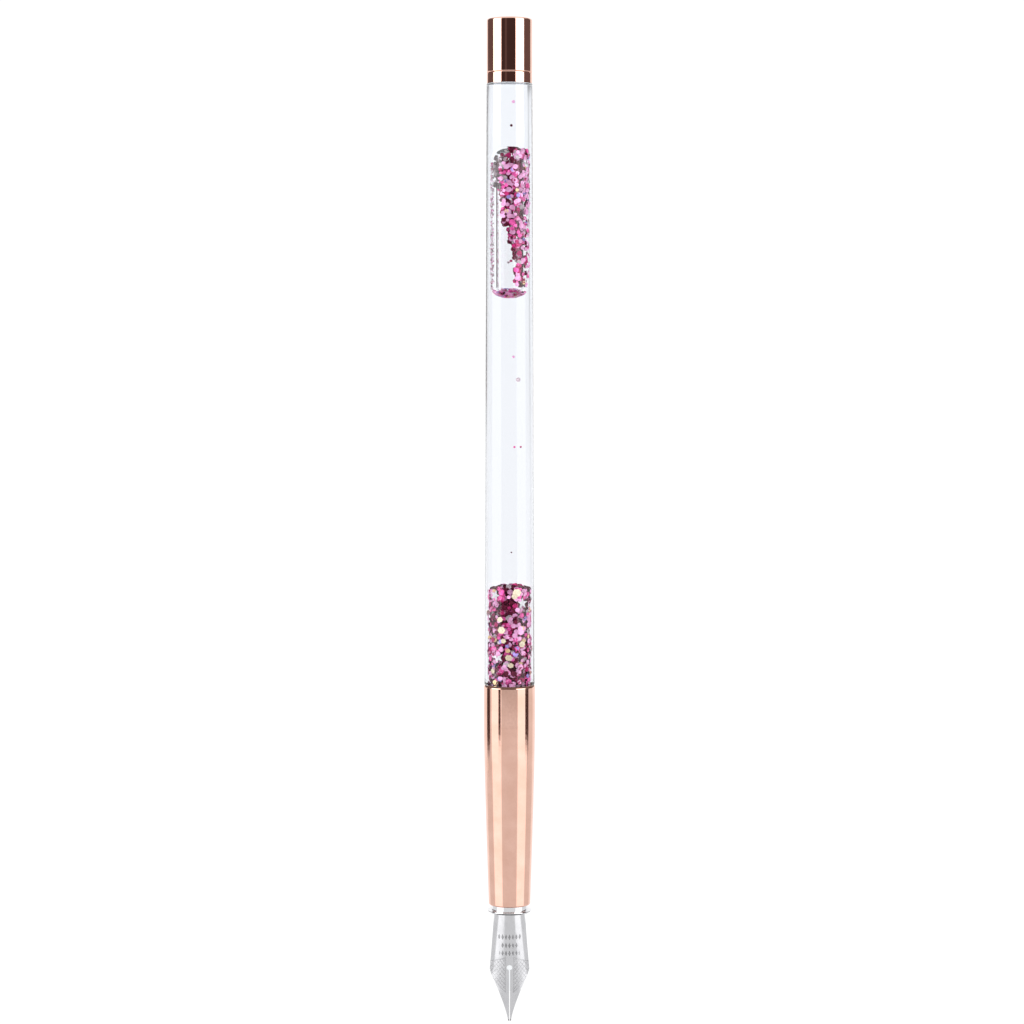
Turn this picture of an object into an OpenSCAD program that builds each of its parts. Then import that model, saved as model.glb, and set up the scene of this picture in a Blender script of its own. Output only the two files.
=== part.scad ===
// Dip pen with a liquid-glitter barrel.
// A steel nib and its feed sit in a plated metal grip. The grip screws onto a clear barrel,
// which is filled with oil, loose glitter and one long air bubble, and closed by a plug at each end.
// Frame: the writing tip is at z = 0 and +Z runs up the barrel's axis. The nib's face looks to -Y.

/* [Lengths] */
// Nib that shows below the trim ring
nib_reach = 18.6; // [15:0.2:23]
// Metal grip
grip_len = 37.25; // [29:0.25:45]
// Clear barrel between the grip and the rear band
barrel_len = 100.4; // [84:0.2:125]
// Rear cap above its band
cap_len = 8.9; // [7:0.1:12]
// Band under the rear cap
band_len = 1.8; // [1:0.1:2.5]
// Trim ring below the grip
ring_len = 1.2; // [0.9:0.1:1.6]

/* [Barrel] */
// Diameter of the sealed chamber
bore_d = 5.4; // [4.8:0.1:6.6]
// Barrel wall at the grip end
front_wall = 1.54; // [1.3:0.02:2.2]
// Barrel wall at the cap end
rear_wall = 1.13; // [1:0.01:2]
// Wall of the turned-down spigot at each end
spigot_wall = 0.65; // [0.55:0.05:0.9]
// Length of the spigot at each end
spigot_len = 4; // [3.4:0.1:5]
// Step from the barrel in to the cap
cap_inset = 0.03; // [0:0.01:0.3]
// Step from the barrel out to the grip
grip_step = 0.1; // [0:0.05:0.3]
// Compressed thickness of the washer under the barrel's shoulder
washer_t = 0.25; // [0.2:0.05:0.5]

/* [Thread] */
// Major diameter of the screw that joins barrel and grip
thread_d = 5; // [4.2:0.1:6]
// Pitch of the screw
thread_pitch = 0.8; // [0.7:0.1:1]
// Depth of the thread
thread_depth = 0.45; // [0.35:0.05:0.5]
// Length of the threaded stud
stud_len = 5.2; // [4.4:0.1:6.4]

/* [Grip] */
// Length over which the grip narrows towards the nib
taper_len = 30.4; // [24:0.2:33]
// Metal wall around the nib's housing
grip_wall = 0.45; // [0.35:0.01:0.8]
// Rounding of the grip's lower edge
grip_round = 0.26; // [0.16:0.02:0.4]
// How far the trim ring stands out past the grip
ring_overhang = 0.24; // [0.1:0.02:0.5]

/* [Nib] */
// Outside diameter of the nib's rolled heel
heel_d = 5.3; // [4.4:0.1:6.2]
// Length of the heel hidden in the housing
heel_len = 4.2; // [3.4:0.1:5]
// Width across the nib's shoulders
shoulder_w = 6.75; // [5.6:0.05:8]
// Height of the shoulders above the tip
shoulder_z = 8.5; // [7:0.1:10]
// Steel sheet
nib_t = 0.25; // [0.2:0.01:0.35]
// Diameter of the breather hole
breather_d = 0.94; // [0.7:0.02:1.2]
// Slit width at the breather hole
slit_w = 0.2; // [0.12:0.01:0.3]
// Diameter of the tipping ball
tipping_d = 0.56; // [0.45:0.01:0.8]
// Slope of the nib's top line towards the axis, in degrees
nib_droop = 3.8; // [2:0.2:5]
// Opening angle of the nib's rolled form, in degrees
nib_flare = 7.8; // [6:0.2:9]

/* [Feed] */
// Length of the feed inside the housing
feed_grip_len = 12.4; // [10:0.1:15]
// Distance from the tip to the feed's point
feed_start = 5.2; // [4:0.1:7]
// Spacing of the feed's fins
fin_pitch = 0.8; // [0.7:0.05:1.2]
// Width of the gap between fins
fin_gap = 0.32; // [0.2:0.02:0.5]
// Wall of the nib's plastic housing
housing_wall = 0.4; // [0.3:0.05:0.7]

/* [Filling] */
// Height of the settled glitter above the barrel's shoulder
bed_h = 17; // [12:0.5:30]
// Length of the air bubble
bubble_len = 24.8; // [18:0.2:34]
// Distance from the bubble's top to the barrel's rear end
bubble_drop = 10.6; // [10:0.1:16]
// Film of oil between the chamber's wall and the settled glitter
film = 0.12; // [0.1:0.01:0.16]
// Film of oil between the chamber's wall and the bubble's glitter
bubble_film = 0.44; // [0.1:0.02:0.6]
// Thickness of one glitter flake
flake_t = 0.05; // [0.03:0.01:0.08]
// Width across a loose flake
flake_w = 0.62; // [0.4:0.02:0.8]
// Width across a star
star_w = 1.8; // [1.2:0.1:2]

/* [Hidden] */
$fn = 64;
slip = 0.05;        // radial gap of parts that slide together
running = 0.02;     // radial gap of the nib unit in its housing
glue = 0.01;        // radial gap of bonded parts
face_gap = 0.1;     // axial gap between parts that don't seat on each other
thread_gap = 0.1;   // radial gap of the screw
seal_r = 0.45;      // radius of the sealing rings' section
flange_t = 0.8;     // thickness of the plugs' flanges
ledge = 0.35;       // width of the ledges inside the grip
edge = 0.12;        // chamfer on the edges where band and cap meet
cap_round = 0.35;   // rounding of the cap's rear edge
cap_wall = 0.8;     // metal of the hollow cap
washer_inset = 0.1;  // step in from the barrel to the washer
meniscus = 1;        // height of the bubble's rounded ends
eps = 0.01;

// radii
bore_r = bore_d / 2;
front_r = bore_r + front_wall;
rear_r = bore_r + rear_wall;
spigot_r = bore_r + spigot_wall;
socket_r = spigot_r + slip;
heel_r = heel_d / 2;
housing_in_r = heel_r + running;
housing_r = housing_in_r + housing_wall;
grip_front_r = housing_r + grip_wall;
grip_rear_r = front_r + grip_step;
cap_r = rear_r - cap_inset;
ring_r = grip_front_r + ring_overhang;
ring_in_r = heel_r + face_gap;
cavity_r = min(housing_r, socket_r) - ledge;

// heights
z_ring = nib_reach;
z_grip = z_ring + ring_len;
z_rim = z_grip + grip_len;
z_barrel = z_rim + washer_t;
z_rear = z_barrel + barrel_len;
z_cap = z_rear + band_len;
z_top = z_cap + cap_len;
z_front_spigot = z_barrel - spigot_len;
z_rear_spigot = z_rear + spigot_len;
z_flange = z_front_spigot - flange_t;
z_stud = z_flange - stud_len;
z_insert_top = z_flange - face_gap;
z_insert = z_stud - face_gap;
collar_len = 1;
z_housing = z_grip + collar_len;
z_heel_top = z_ring + heel_len;
z_feed_top = z_housing + feed_grip_len;
stop_t = 0.8;
z_housing_top = z_feed_top + face_gap + stop_t;
z_floor = z_barrel - 0.7;
z_ceiling = z_rear + 0.4;

// nib form: a cone whose axis leans back from the barrel's axis, cut to the nib's outline
nib_lean = nib_droop + nib_flare;
lean_len = nib_reach / cos(nib_lean);
z_tine = 0.6 * tipping_d;
tip_y = heel_r - nib_t / 2 - nib_reach * tan(nib_droop);
feed_clear = 0.04;

// glitter
flow_gap = 0.15;
bed_r = bore_r - flow_gap;
bubble_top = z_rear - bubble_drop;
bubble_low = bubble_top - bubble_len;
bubble_out_r = bore_r - bubble_film;
bubble_r = bubble_out_r - 0.16;

// ---- shared forms ----

module tube(r_out, r_in, low, high) {
    translate([0, 0, low]) difference() {
        cylinder(h = high - low, r = r_out);
        translate([0, 0, -1]) cylinder(h = high - low + 2, r = r_in);
    }
}

module seal(z) {
    translate([0, 0, z]) rotate_extrude()
        translate([bore_r - running - seal_r, 0]) circle(r = seal_r, $fn = 32);
}

// groove for a sealing ring, to be cut from a plug
module seal_groove(z) {
    half = seal_r + running;
    tube(bore_r + 1, bore_r - 2 * half, z - half, z + half);
}

// radius of the thread's surface: a triangular ridge that climbs one pitch a turn
function thread_r(angle, z, major) =
    let (phase = z / thread_pitch - angle / 360, saw = abs(2 * (phase - floor(phase)) - 1))
    major - thread_depth * saw;

// threaded rod from z = low up to low + len
module thread(major, low, len, sides = 24, steps = 6) {
    rings = ceil(len / thread_pitch * steps);
    points = [for (i = [0 : rings], j = [0 : sides - 1])
        let (z = low + len * i / rings, a = 360 * j / sides, r = thread_r(a, z, major))
        [r * cos(a), r * sin(a), z]];
    walls = [for (i = [0 : rings - 1], j = [0 : sides - 1], half = [0, 1])
        let (a = i * sides + j, b = i * sides + (j + 1) % sides)
        half == 0 ? [a, a + sides, b] : [b, a + sides, b + sides]];
    floor_face = [for (j = [0 : sides - 1]) j];
    roof_face = [for (j = [sides - 1 : -1 : 0]) rings * sides + j];
    polyhedron(points = points, faces = concat(walls, [floor_face, roof_face]), convexity = 10);
}

// ---- nib unit ----

// half width of the nib seen from the front: concave from the tip to the shoulders, then drawn in to the heel
function nib_half(z) = z < shoulder_z
    ? tipping_d / 2.4 + (shoulder_w / 2 - tipping_d / 2.4) * pow(z / shoulder_z, 1.35)
    : heel_r * 0.985 + (shoulder_w / 2 - heel_r * 0.985) * pow((z_ring - z) / (z_ring - shoulder_z), 1.15);

module nib_outline() {
    blend_z = 0.5;
    low_z = [for (i = [0 : 9]) z_tine + (shoulder_z - blend_z - z_tine) * i / 9];
    high_z = [for (i = [0 : 9]) shoulder_z + blend_z / 2 + (z_ring - shoulder_z - blend_z / 2) * i / 9];
    zs = concat(low_z, high_z);
    polygon(concat([for (z = zs) [nib_half(z), z]],
                   [for (i = [len(zs) - 1 : -1 : 0]) [-nib_half(zs[i]), zs[i]]]));
}

module leaning_cone(inset) {
    grow = lean_len * tan(nib_flare);
    translate([0, 0, z_ring]) rotate([nib_lean, 0, 0]) translate([0, 0, -1.2 * lean_len])
        cylinder(h = 1.4 * lean_len, r1 = heel_r - inset + 1.2 * grow, r2 = heel_r - inset - 0.2 * grow);
}

module slit() {
    low_w = 0.3 * slit_w;
    rotate([90, 0, 0]) translate([0, 0, -2 * heel_d]) linear_extrude(4 * heel_d)
        polygon([[-low_w, -1], [low_w, -1], [slit_w / 2, shoulder_z + 0.8], [-slit_w / 2, shoulder_z + 0.8]]);
}

module nib() {
    color("silver") difference() {
        union() {
            intersection() {
                difference() {
                    leaning_cone(0);
                    leaning_cone(nib_t);
                }
                translate([0, 0.5, 0]) rotate([90, 0, 0]) linear_extrude(heel_d + 2) nib_outline();
            }
            intersection() {
                tube(heel_r, heel_r - nib_t, z_ring, z_heel_top);
                translate([-heel_d, -heel_d, 0]) cube([2 * heel_d, heel_d + 0.5, z_heel_top + 1]);
            }
        }
        slit();
        translate([0, 0, shoulder_z + 0.8]) rotate([90, 0, 0])
            cylinder(h = 2 * heel_d, d = breather_d);
    }
}

module nib_tipping() {
    color("darkgray") difference() {
        translate([0, -tip_y, tipping_d / 2]) sphere(d = tipping_d);
        translate([-1, -tip_y - 1, z_tine]) cube([2, 2, 1]);
        slit();
    }
}

// radius of the feed so that its top line follows the nib's underside
function feed_r(z) = heel_r - nib_t - feed_clear - max(0, z_ring - z) * tan(nib_droop);

module feed() {
    inner_r = heel_r - nib_t - running;
    channel_w = 0.4;
    channel_depth = 0.45;
    core_r = 1.05;
    land_w = 1.5;
    tail_r = 1.2;
    tail_len = 3;
    tongue_t = 0.7;
    slope_z = z_ring - 3.2;
    fins = floor((slope_z - feed_start - 3.2) / fin_pitch);
    color("lightgray") difference() {
        union() {
            rotate_extrude() polygon([[0, feed_start], [feed_r(feed_start), feed_start],
                                      [feed_r(z_ring), z_ring], [inner_r, z_ring], [inner_r, z_heel_top + eps],
                                      [0, z_heel_top + eps]]);
            intersection() {
                translate([0, 0, z_ring]) cylinder(h = z_heel_top - z_ring + 2 * eps, r = heel_r);
                translate([-heel_d, 0.5 + slip, z_ring]) cube([2 * heel_d, heel_d, heel_len + 1]);
            }
            translate([0, 0, z_heel_top + slip]) cylinder(h = z_feed_top - z_heel_top - slip, r = heel_r);
            translate([0, 0, z_heel_top]) cylinder(h = slip + eps, r = inner_r);
            translate([0, 0, z_feed_top - eps]) cylinder(h = tail_len, r = tail_r);
        }
        // sloping underside
        rotate([90, 0, 90]) translate([0, 0, -heel_d]) linear_extrude(2 * heel_d)
            polygon([[tongue_t - feed_r(feed_start), feed_start - 1],
                     [tongue_t - feed_r(feed_start), feed_start],
                     [heel_r + eps, slope_z], [heel_r + 2, slope_z], [heel_r + 2, feed_start - 1]]);
        // ink channel under the slit
        translate([-channel_w / 2, -heel_d, feed_start - 1])
            cube([channel_w, heel_d - feed_r(shoulder_z) + channel_depth, z_feed_top - feed_start - 4]);
        // gaps between the fins, which leave a core and the land that carries the nib
        for (i = [0 : fins]) translate([0, 0, slope_z + 2 - i * fin_pitch]) difference() {
            cylinder(h = fin_gap, r = heel_d);
            translate([0, 0, -1]) cylinder(h = fin_gap + 2, r = core_r);
            translate([-land_w / 2, -2 * heel_d, -1]) cube([land_w, 2 * heel_d, fin_gap + 2]);
        }
    }
}

// ---- grip ----

module nib_housing() {
    color("dimgray") difference() {
        translate([0, 0, z_housing]) cylinder(h = z_housing_top - z_housing, r = housing_r);
        translate([0, 0, z_housing - 1]) cylinder(h = z_feed_top + face_gap - z_housing + 1, r = housing_in_r);
        translate([0, 0, z_housing]) cylinder(h = z_housing_top, r = 1.35);
    }
}

module trim_ring() {
    flange_top = z_ring + 0.3;
    lip = 0.1;
    fillet = 0.12;
    lip_arc = [for (i = [0 : 4]) let (a = 90 * i / 4)
        [ring_r - lip * (1 - cos(a)), flange_top - lip * (1 - sin(a))]];
    fillet_arc = [for (i = [0 : 4]) let (a = 90 * i / 4)
        [housing_r + fillet * (1 - sin(a)), flange_top + fillet * (1 - cos(a))]];
    color("gainsboro") rotate_extrude() polygon(concat(
        [[ring_in_r, z_ring], [ring_r - lip, z_ring], [ring_r, z_ring + lip]],
        lip_arc, fillet_arc,
        [[housing_r, z_housing], [ring_in_r, z_housing]]));
}

// outside of the grip, from its lower edge to its rim
function grip_profile() = concat(
    [for (i = [0 : 5]) let (a = 90 * i / 5)
        [grip_front_r - grip_round * (1 - sin(a)), z_grip + grip_round * (1 - cos(a))]],
    [for (i = [1 : 16]) let (t = i / 16)
        [grip_rear_r - (grip_rear_r - grip_front_r) * pow(1 - t, 1.3),
         z_grip + grip_round + (taper_len - grip_round) * t]],
    [[grip_rear_r, z_rim - edge], [grip_rear_r - edge, z_rim]]);

module grip_sleeve() {
    color("lightsalmon") difference() {
        rotate_extrude() polygon(concat([[0, z_grip]], grip_profile(), [[0, z_rim]]));
        translate([0, 0, z_grip - 1]) cylinder(h = z_housing_top - z_grip + 1, r = housing_r + glue);
        translate([0, 0, z_grip]) cylinder(h = grip_len, r = cavity_r);
        translate([0, 0, z_insert]) cylinder(h = z_rim - z_insert + 1, r = socket_r);
    }
}

module thread_insert() {
    color("gold") difference() {
        translate([0, 0, z_insert]) cylinder(h = z_insert_top - z_insert, r = socket_r - glue);
        thread(thread_d / 2 + thread_gap, z_insert - thread_pitch, z_insert_top - z_insert + 2 * thread_pitch);
    }
}

module joint_washer() {
    color("saddlebrown") tube(front_r - washer_inset, spigot_r + running, z_rim, z_barrel);
}

// ---- barrel ----

module barrel_tube() {
    color("lightcyan", 0.4) difference() {
        union() {
            translate([0, 0, z_barrel]) cylinder(h = barrel_len, r1 = front_r, r2 = rear_r);
            translate([0, 0, z_front_spigot]) cylinder(h = z_rear_spigot - z_front_spigot, r = spigot_r);
        }
        translate([0, 0, z_front_spigot - 1]) cylinder(h = z_rear_spigot - z_front_spigot + 2, r = bore_r);
    }
}

module front_plug() {
    z_seal = (z_front_spigot + z_floor) / 2;
    root = 0.5;
    color("goldenrod") union() {
        difference() {
            union() {
                translate([0, 0, z_flange]) cylinder(h = z_floor - z_flange, r = bore_r - glue);
                translate([0, 0, z_flange]) cylinder(h = flange_t, r = spigot_r);
            }
            seal_groove(z_seal);
        }
        thread(thread_d / 2, z_stud, stud_len + root);
    }
}

module front_seal() {
    color("dimgray") seal((z_front_spigot + z_floor) / 2);
}

module rear_plug() {
    color("whitesmoke") difference() {
        union() {
            translate([0, 0, z_ceiling]) cylinder(h = z_rear_spigot - z_ceiling + flange_t, r = bore_r - glue);
            translate([0, 0, z_rear_spigot]) cylinder(h = flange_t, r = spigot_r);
        }
        seal_groove((z_rear_spigot + z_ceiling) / 2);
    }
}

module rear_seal() {
    color("dimgray") seal((z_rear_spigot + z_ceiling) / 2);
}

module rear_band() {
    color("lightsalmon") rotate_extrude() polygon([
        [spigot_r + glue, z_rear], [cap_r, z_rear], [cap_r, z_cap - edge],
        [cap_r - edge, z_cap], [spigot_r + glue, z_cap]]);
}

module rear_cap() {
    z_seat = z_rear_spigot + flange_t + face_gap;
    rounding = [for (i = [0 : 6]) let (a = 90 * i / 6)
        [cap_r - cap_round * (1 - cos(a)), z_top - cap_round * (1 - sin(a))]];
    color("lightsalmon") rotate_extrude() polygon(concat(
        [[spigot_r + glue, z_cap], [cap_r - edge, z_cap], [cap_r, z_cap + edge]],
        rounding,
        [[0, z_top], [0, z_top - cap_wall], [cap_r - cap_wall, z_top - cap_wall],
         [cap_r - cap_wall, z_seat], [spigot_r + glue, z_seat]]));
}

// ---- filling ----

// a flat piece laid against the chamber's wall at one height and bearing
module on_wall(bearing, z, half_w, thick, gap) {
    reach = sqrt(pow(bore_r - gap, 2) - pow(half_w, 2));
    rotate([0, 0, bearing]) translate([0, -reach, z]) rotate([-90, 0, 0])
        linear_extrude(thick) children();
}

module hexagon(across) {
    circle(d = across, $fn = 6);
}

module star(across) {
    polygon([for (i = [0 : 9]) let (r = across / 2 * (i % 2 == 0 ? 1 : 0.45))
        [r * sin(36 * i), r * cos(36 * i)]]);
}

// bearing and height of each loose flake above the barrel's shoulder, in millimetres
LOOSE = [[13, 97.2], [6, 93.3], [13, 55.1], [29, 51.3], [16, 40.1], [38, 40.1], [6, 22.5]];

module loose_flakes() {
    color("hotpink") for (p = LOOSE)
        on_wall(p[0], z_barrel + p[1], flake_w / 2, flake_t, running) hexagon(flake_w);
}

// bearing and height of each star and gold flake above the barrel's shoulder
STARS = [[-43, 4.8], [47, 13.9], [-54, 15.2], [160, 9], [200, 13.4]];
GOLDS = [[25, 15.6], [-27, 9.4], [-3, 4.8], [4, 3.6], [-32, 11.2], [-62, 2.4], [44, 7]];

module star_charms() {
    color("white") for (p = STARS)
        on_wall(p[0], z_barrel + p[1], star_w / 2, flake_t, film) star(star_w);
}

module gold_flakes() {
    color("gold") for (p = GOLDS)
        on_wall(p[0], z_barrel + p[1], flake_w / 2, flake_t, film) hexagon(flake_w);
}

module glitter_bed() {
    pocket = 4 * flake_t;
    dome = 0.6;
    z_bed = z_floor + running;
    bed_top = z_barrel + bed_h;
    color("deeppink") difference() {
        union() {
            translate([0, 0, z_bed]) cylinder(h = bed_top - dome - z_bed, r = bed_r);
            translate([0, 0, bed_top - dome]) cylinder(h = dome, r1 = bed_r, r2 = 0.5 * bed_r);
        }
        for (p = STARS)
            on_wall(p[0], z_barrel + p[1], star_w / 2, pocket, film - flake_t) star(1.15 * star_w);
        for (p = GOLDS)
            on_wall(p[0], z_barrel + p[1], flake_w / 2, pocket, film - flake_t) hexagon(1.15 * flake_w);
    }
}

// glitter that clings to the air bubble: a full collar at its top, a strip down one side, a ring at its foot
module bubble_glitter() {
    collar_h = 8;
    foot_h = 1.2;
    z_foot = bubble_low + meniscus;
    z_collar = bubble_top - meniscus - collar_h;
    color("deeppink") difference() {
        union() {
            translate([0, 0, z_collar]) cylinder(h = collar_h, r = bubble_out_r);
            translate([0, 0, z_foot]) cylinder(h = foot_h, r = bubble_out_r);
            intersection() {
                translate([0, 0, z_foot]) cylinder(h = z_collar - z_foot + 1, r = bubble_out_r);
                translate([0.6, -bore_d, bubble_low]) cube([bore_d, 2 * bore_d, bubble_len]);
            }
        }
        translate([0, 0, bubble_low]) cylinder(h = bubble_len, r = bubble_r);
    }
}

// the air bubble, with a rounded meniscus at each end
module bubble_space(r) {
    low_end = [for (i = [0 : 6]) let (a = 90 * i / 6) [r * sin(a), bubble_low + meniscus * (1 - cos(a))]];
    high_end = [for (i = [6 : -1 : 0]) let (a = 90 * i / 6) [r * sin(a), bubble_top - meniscus * (1 - cos(a))]];
    rotate_extrude() polygon(concat(low_end, high_end));
}

module oil_fill() {
    room = 0.03;
    color("azure", 0.3) difference() {
        translate([0, 0, z_floor]) cylinder(h = z_ceiling - z_floor, r = bore_r - glue);
        translate([0, 0, z_floor - 1]) cylinder(h = z_barrel + bed_h + room - z_floor + 1, r = bore_r - film + room);
        bubble_space(bubble_out_r + room);
        for (p = LOOSE)
            on_wall(p[0], z_barrel + p[1], flake_w / 2, 4 * flake_t, -flake_t) hexagon(1.2 * flake_w);
    }
}

nib();
nib_tipping();
feed();
nib_housing();
trim_ring();
grip_sleeve();
thread_insert();
joint_washer();
barrel_tube();
front_plug();
front_seal();
rear_plug();
rear_seal();
rear_band();
rear_cap();
oil_fill();
loose_flakes();
glitter_bed();
star_charms();
gold_flakes();
bubble_glitter();
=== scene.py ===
import math
import random

import bmesh
import bpy
from mathutils import Matrix, Vector


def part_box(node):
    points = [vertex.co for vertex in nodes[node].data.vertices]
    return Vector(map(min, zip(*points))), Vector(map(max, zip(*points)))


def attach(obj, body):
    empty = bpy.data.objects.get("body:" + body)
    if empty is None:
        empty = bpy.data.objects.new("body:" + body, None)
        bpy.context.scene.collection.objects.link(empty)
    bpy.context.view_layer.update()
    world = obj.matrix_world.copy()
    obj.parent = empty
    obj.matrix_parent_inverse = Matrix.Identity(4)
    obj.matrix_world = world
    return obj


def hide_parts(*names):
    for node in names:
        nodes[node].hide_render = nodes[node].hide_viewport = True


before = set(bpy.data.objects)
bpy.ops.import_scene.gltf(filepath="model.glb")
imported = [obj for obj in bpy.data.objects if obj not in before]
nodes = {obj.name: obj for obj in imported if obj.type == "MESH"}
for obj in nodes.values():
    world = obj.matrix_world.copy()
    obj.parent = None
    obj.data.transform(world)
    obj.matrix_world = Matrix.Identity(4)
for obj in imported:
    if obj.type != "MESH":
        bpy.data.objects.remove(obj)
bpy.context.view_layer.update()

MM = 0.001
TURN = 2 * math.pi


# ---------------------------------------------------------------- sizes taken from the frame

def low(node):
    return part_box(node)[0]


def high(node):
    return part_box(node)[1]


def radius_of(node):
    """Radius of a round node, taken across its facets where those fall inside the circle."""
    return min(high(node).x, high(node).y)


Z_RING = low("trim_ring").z
Z_GRIP = low("grip_sleeve").z
Z_RIM = high("grip_sleeve").z
Z_BARREL = high("joint_washer").z
Z_REAR = low("rear_band").z
Z_CAP = low("rear_cap").z
Z_TOP = high("rear_cap").z
Z_FLOOR = low("oil_fill").z
Z_CEILING = high("oil_fill").z
Z_SPIGOT_LOW = low("barrel_tube").z
Z_SPIGOT_HIGH = high("barrel_tube").z
BORE_R = radius_of("oil_fill") + 0.01 * MM
FRONT_R = radius_of("barrel_tube")
GRIP_R = radius_of("grip_sleeve")
RING_R = radius_of("trim_ring")
CAP_R = radius_of("rear_cap")
BED_TOP = high("glitter_bed").z
BUBBLE_LOW = low("bubble_glitter").z - 1.0 * MM
BUBBLE_TOP = high("bubble_glitter").z + 1.0 * MM

# sizes that the frame's boxes don't give
REAR_R = CAP_R + 0.03 * MM
SPIGOT_R = BORE_R + 0.65 * MM
BUBBLE_R = BORE_R - 0.62 * MM
BUBBLE_SKIN_R = BORE_R - 0.44 * MM
RING_BORE_R = 2.75 * MM
GRIP_TAPER = 30.4 * MM
TAPER_POWER = 1.3
GRIP_ROUND = 0.26 * MM
GRIP_FRONT_R = RING_R - 0.24 * MM
EDGE = 0.12 * MM
CAP_ROUND = 0.35 * MM
CAP_WALL = 0.8 * MM
BED_SKIN_R = BORE_R - 0.12 * MM
MENISCUS = 1.7 * MM
# gap between faces that would otherwise lie in one plane
APART = 0.02 * MM


# ---------------------------------------------------------------- material helpers

class Shader:
    """A node material with the few building blocks that the finishes share."""

    def __init__(self, name):
        self.material = bpy.data.materials.new(name)
        self.material.use_nodes = True
        self.tree = self.material.node_tree
        self.nodes = self.tree.nodes
        self.links = self.tree.links
        self.principled = self.nodes["Principled BSDF"]
        self.output = self.nodes["Material Output"]
        self.place = self.nodes.new("ShaderNodeTexCoord").outputs["Object"]

    def set(self, **values):
        for key, value in values.items():
            self.principled.inputs[key.replace("_", " ")].default_value = value
        return self

    def link(self, source, socket):
        self.links.new(source, socket)

    def math(self, kind, a, b=None, c=None):
        node = self.nodes.new("ShaderNodeMath")
        node.operation = kind
        for socket, value in zip(node.inputs, (a, b, c)):
            if value is None:
                continue
            if isinstance(value, (int, float)):
                socket.default_value = value
            else:
                self.link(value, socket)
        return node.outputs[0]

    def noise(self, scale, detail=3.0, stretch=(1, 1, 1)):
        mapping = self.nodes.new("ShaderNodeMapping")
        mapping.inputs["Scale"].default_value = stretch
        self.link(self.place, mapping.inputs["Vector"])
        node = self.nodes.new("ShaderNodeTexNoise")
        node.inputs["Scale"].default_value = scale
        node.inputs["Detail"].default_value = detail
        self.link(mapping.outputs[0], node.inputs["Vector"])
        return node.outputs["Fac"]

    def spread(self, value, low_in, high_in, low_out, high_out):
        node = self.nodes.new("ShaderNodeMapRange")
        limits = {"From Min": low_in, "From Max": high_in, "To Min": low_out, "To Max": high_out}
        for key, number in limits.items():
            node.inputs[key].default_value = number
        self.link(value, node.inputs["Value"])
        return node.outputs["Result"]

    def ramp(self, value, stops):
        node = self.nodes.new("ShaderNodeValToRGB")
        while len(node.color_ramp.elements) < len(stops):
            node.color_ramp.elements.new(0.5)
        for element, (position, colour) in zip(node.color_ramp.elements, stops):
            element.position = position
            element.color = (*colour, 1)
        self.link(value, node.inputs["Fac"])
        return node.outputs["Color"]

    def colour_by(self, value, stops):
        self.link(self.ramp(value, stops), self.principled.inputs["Base Color"])
        return self

    def roughness_by(self, value, low_out, high_out):
        self.link(self.spread(value, 0.3, 0.7, low_out, high_out), self.principled.inputs["Roughness"])
        return self

    def bump_by(self, value, strength, distance):
        node = self.nodes.new("ShaderNodeBump")
        node.inputs["Strength"].default_value = strength
        node.inputs["Distance"].default_value = distance
        self.link(value, node.inputs["Height"])
        self.link(node.outputs["Normal"], self.principled.inputs["Normal"])
        return self

    def axis(self, index):
        node = self.nodes.new("ShaderNodeSeparateXYZ")
        self.link(self.place, node.inputs[0])
        return node.outputs[index]

    def open_to_shadows(self):
        """Lets light reach what is behind clear plastic, so that it is lit as it would be."""
        clear = self.nodes.new("ShaderNodeBsdfTransparent")
        path = self.nodes.new("ShaderNodeLightPath")
        mix = self.nodes.new("ShaderNodeMixShader")
        self.link(path.outputs["Is Shadow Ray"], mix.inputs["Fac"])
        self.link(self.principled.outputs["BSDF"], mix.inputs[1])
        self.link(clear.outputs["BSDF"], mix.inputs[2])
        self.link(mix.outputs["Shader"], self.output.inputs["Surface"])
        return self


def metal(name, dark, light, rough, grain=2600, stretch=(1, 1, 1), bump=0.02):
    shader = Shader(name)
    shader.set(Metallic=1.0)
    shader.colour_by(shader.noise(420, 4), [(0.3, dark), (0.7, light)])
    fine = shader.noise(grain, 3, stretch)
    shader.roughness_by(fine, rough * 0.75, rough * 1.25)
    shader.bump_by(fine, bump, 0.01 * MM)
    return shader.material


def plastic(name, dark, light, rough, bump=0.1):
    shader = Shader(name)
    shader.colour_by(shader.noise(900, 3), [(0.3, dark), (0.7, light)])
    fine = shader.noise(5000, 3)
    shader.roughness_by(fine, rough * 0.8, rough * 1.2)
    shader.bump_by(fine, bump, 0.01 * MM)
    return shader.material


def clear(name, tint_low, tint_high, ior, waviness=0.03):
    """A clear solid. Its tint drifts a little from its foot to its top."""
    shader = Shader(name)
    shader.set(IOR=ior, Transmission_Weight=1.0)
    height = shader.spread(shader.axis(2), Z_BARREL, Z_REAR, 0.0, 1.0)
    shader.colour_by(height, [(0.0, tint_low), (1.0, tint_high)])
    shader.roughness_by(shader.noise(260, 2), 0.0, 0.012)
    shader.bump_by(shader.noise(120, 2, (1, 1, 0.4)), waviness, 0.02 * MM)
    return shader.open_to_shadows().material


def flake_finish(name, colour, spread=0.14, metallic=0.78, rough=0.4):
    """Metallised film: each flake takes a slightly different shade, as its place changes."""
    shader = Shader(name)
    shader.set(Metallic=metallic)
    dark = tuple(max(0.0, c * (1 - spread)) for c in colour)
    light = tuple(min(1.0, c * (1 + spread)) for c in colour)
    shader.colour_by(shader.noise(1500, 2), [(0.35, dark), (0.65, light)])
    shader.roughness_by(shader.noise(4000, 3), rough * 0.7, rough * 1.3)
    shader.bump_by(shader.noise(6000, 2), 0.15, 0.01 * MM)
    return shader.material


# ---------------------------------------------------------------- mesh helpers

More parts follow.
